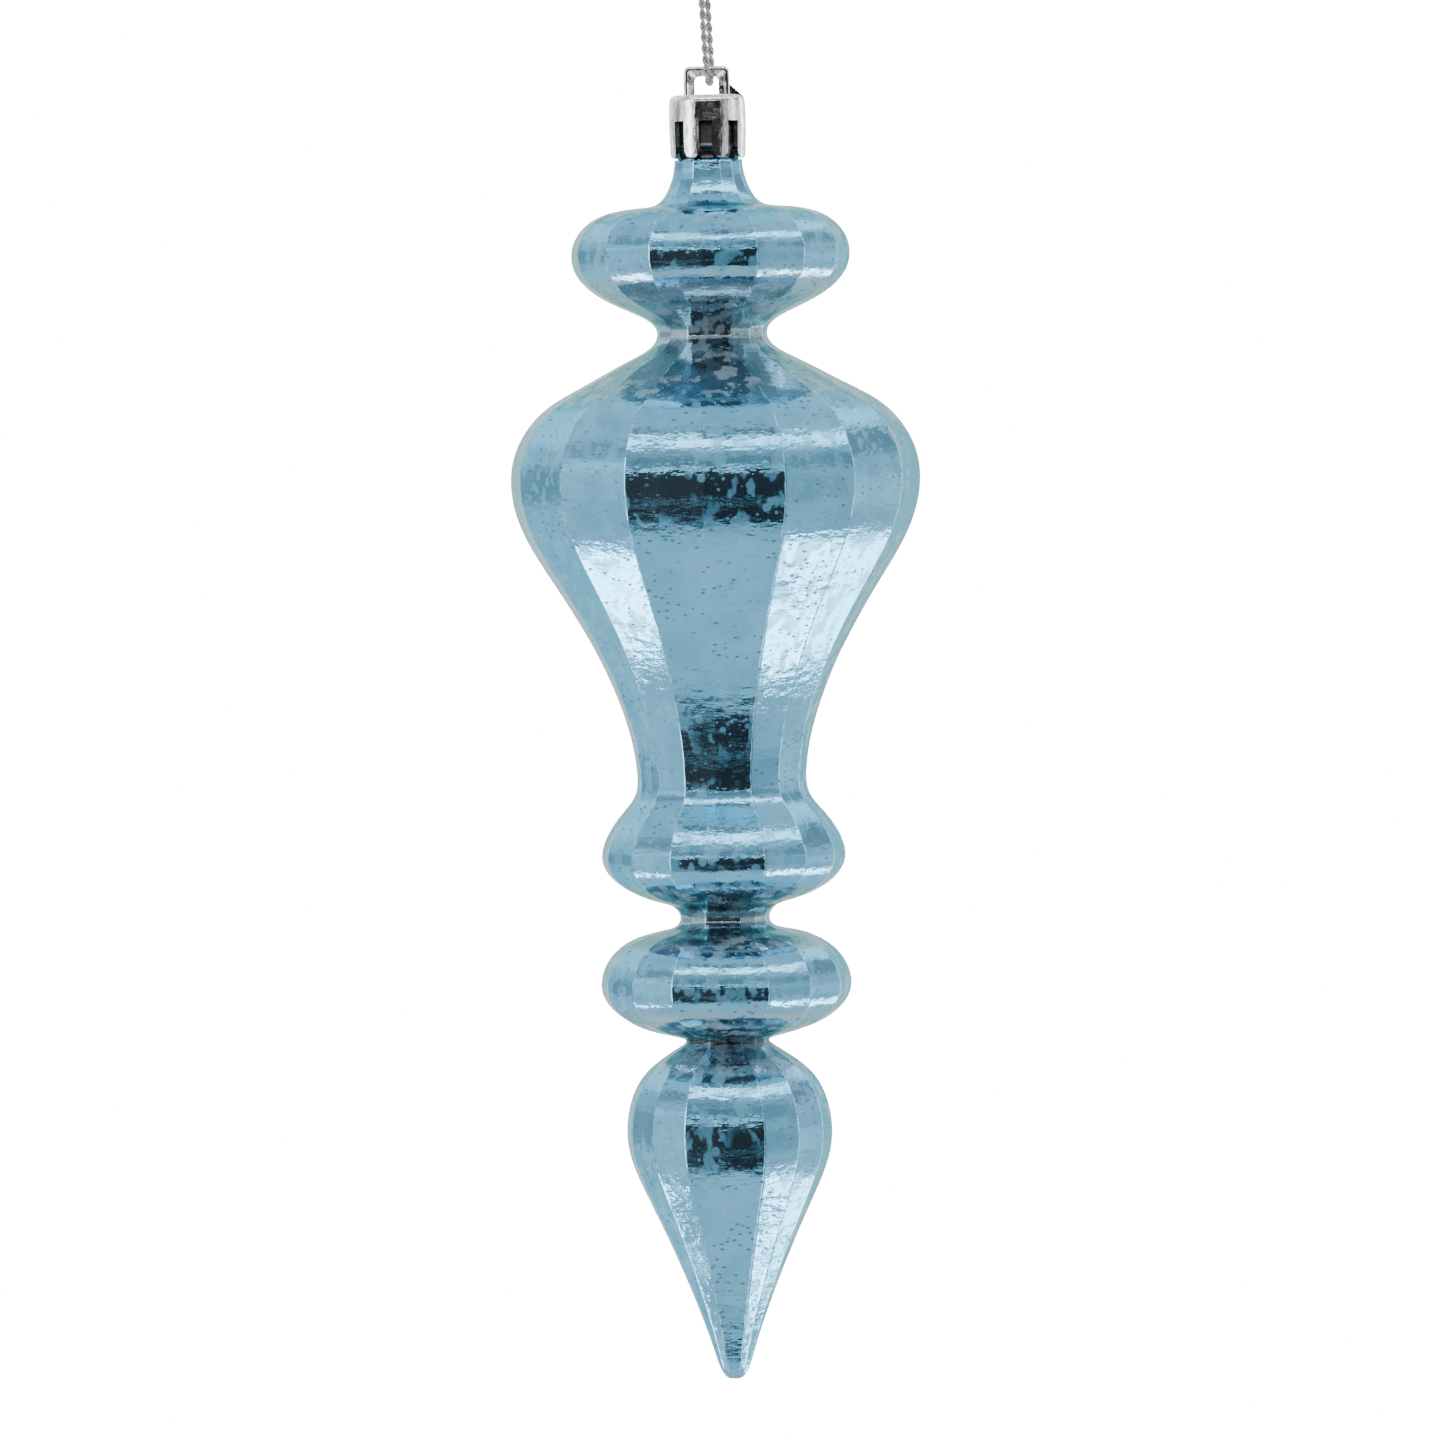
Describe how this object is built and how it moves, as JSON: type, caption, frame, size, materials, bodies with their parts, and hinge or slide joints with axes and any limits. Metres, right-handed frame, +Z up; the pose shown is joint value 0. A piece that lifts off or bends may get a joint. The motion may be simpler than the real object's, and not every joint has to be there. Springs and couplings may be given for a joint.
{
  "type": "icicle hanging ornament",
  "caption": "Faceted hollow drop ornament with stepped discs, a bulb and a pointed tip, under a silver snap cap with an eye and a doubled hanging cord.",
  "frame": {"origin": "the point the ornament hangs from, between the cord's two strands just under the knot", "axes": "+Z up along the hanging axis, +X to the right of the front view, front towards -Y"},
  "size_m": [0.0686, 0.0686, 0.2435],
  "materials": {
    "mirror_shell": "light blue mirror coat with fine speckle on a blow-moulded plastic shell",
    "silver_cap": "silver vacuum-metallised moulded plastic",
    "silver_cord": "silver metallic twisted cord"
  },
  "bodies": {
    "hang_loop_body": {"hang_cord": "silver_cord", "cord_knot": "silver_cord"},
    "cap_body": {"hanger_cap": "silver_cap"},
    "shell_body": {"ornament_shell": "mirror_shell"}
  },
  "joints": [
    {"name": "cap_swing", "type": "hinge", "parent": "hang_loop_body", "child": "cap_body", "pos_m": [0, 0, -0.01795], "axis": [1, 0, 0], "range_deg": [-60, 60]},
    {"name": "shell_pull_off", "type": "slide", "parent": "cap_body", "child": "shell_body", "axis": [0, 0, -1], "range_m": [0, 0.012]}
  ]
}
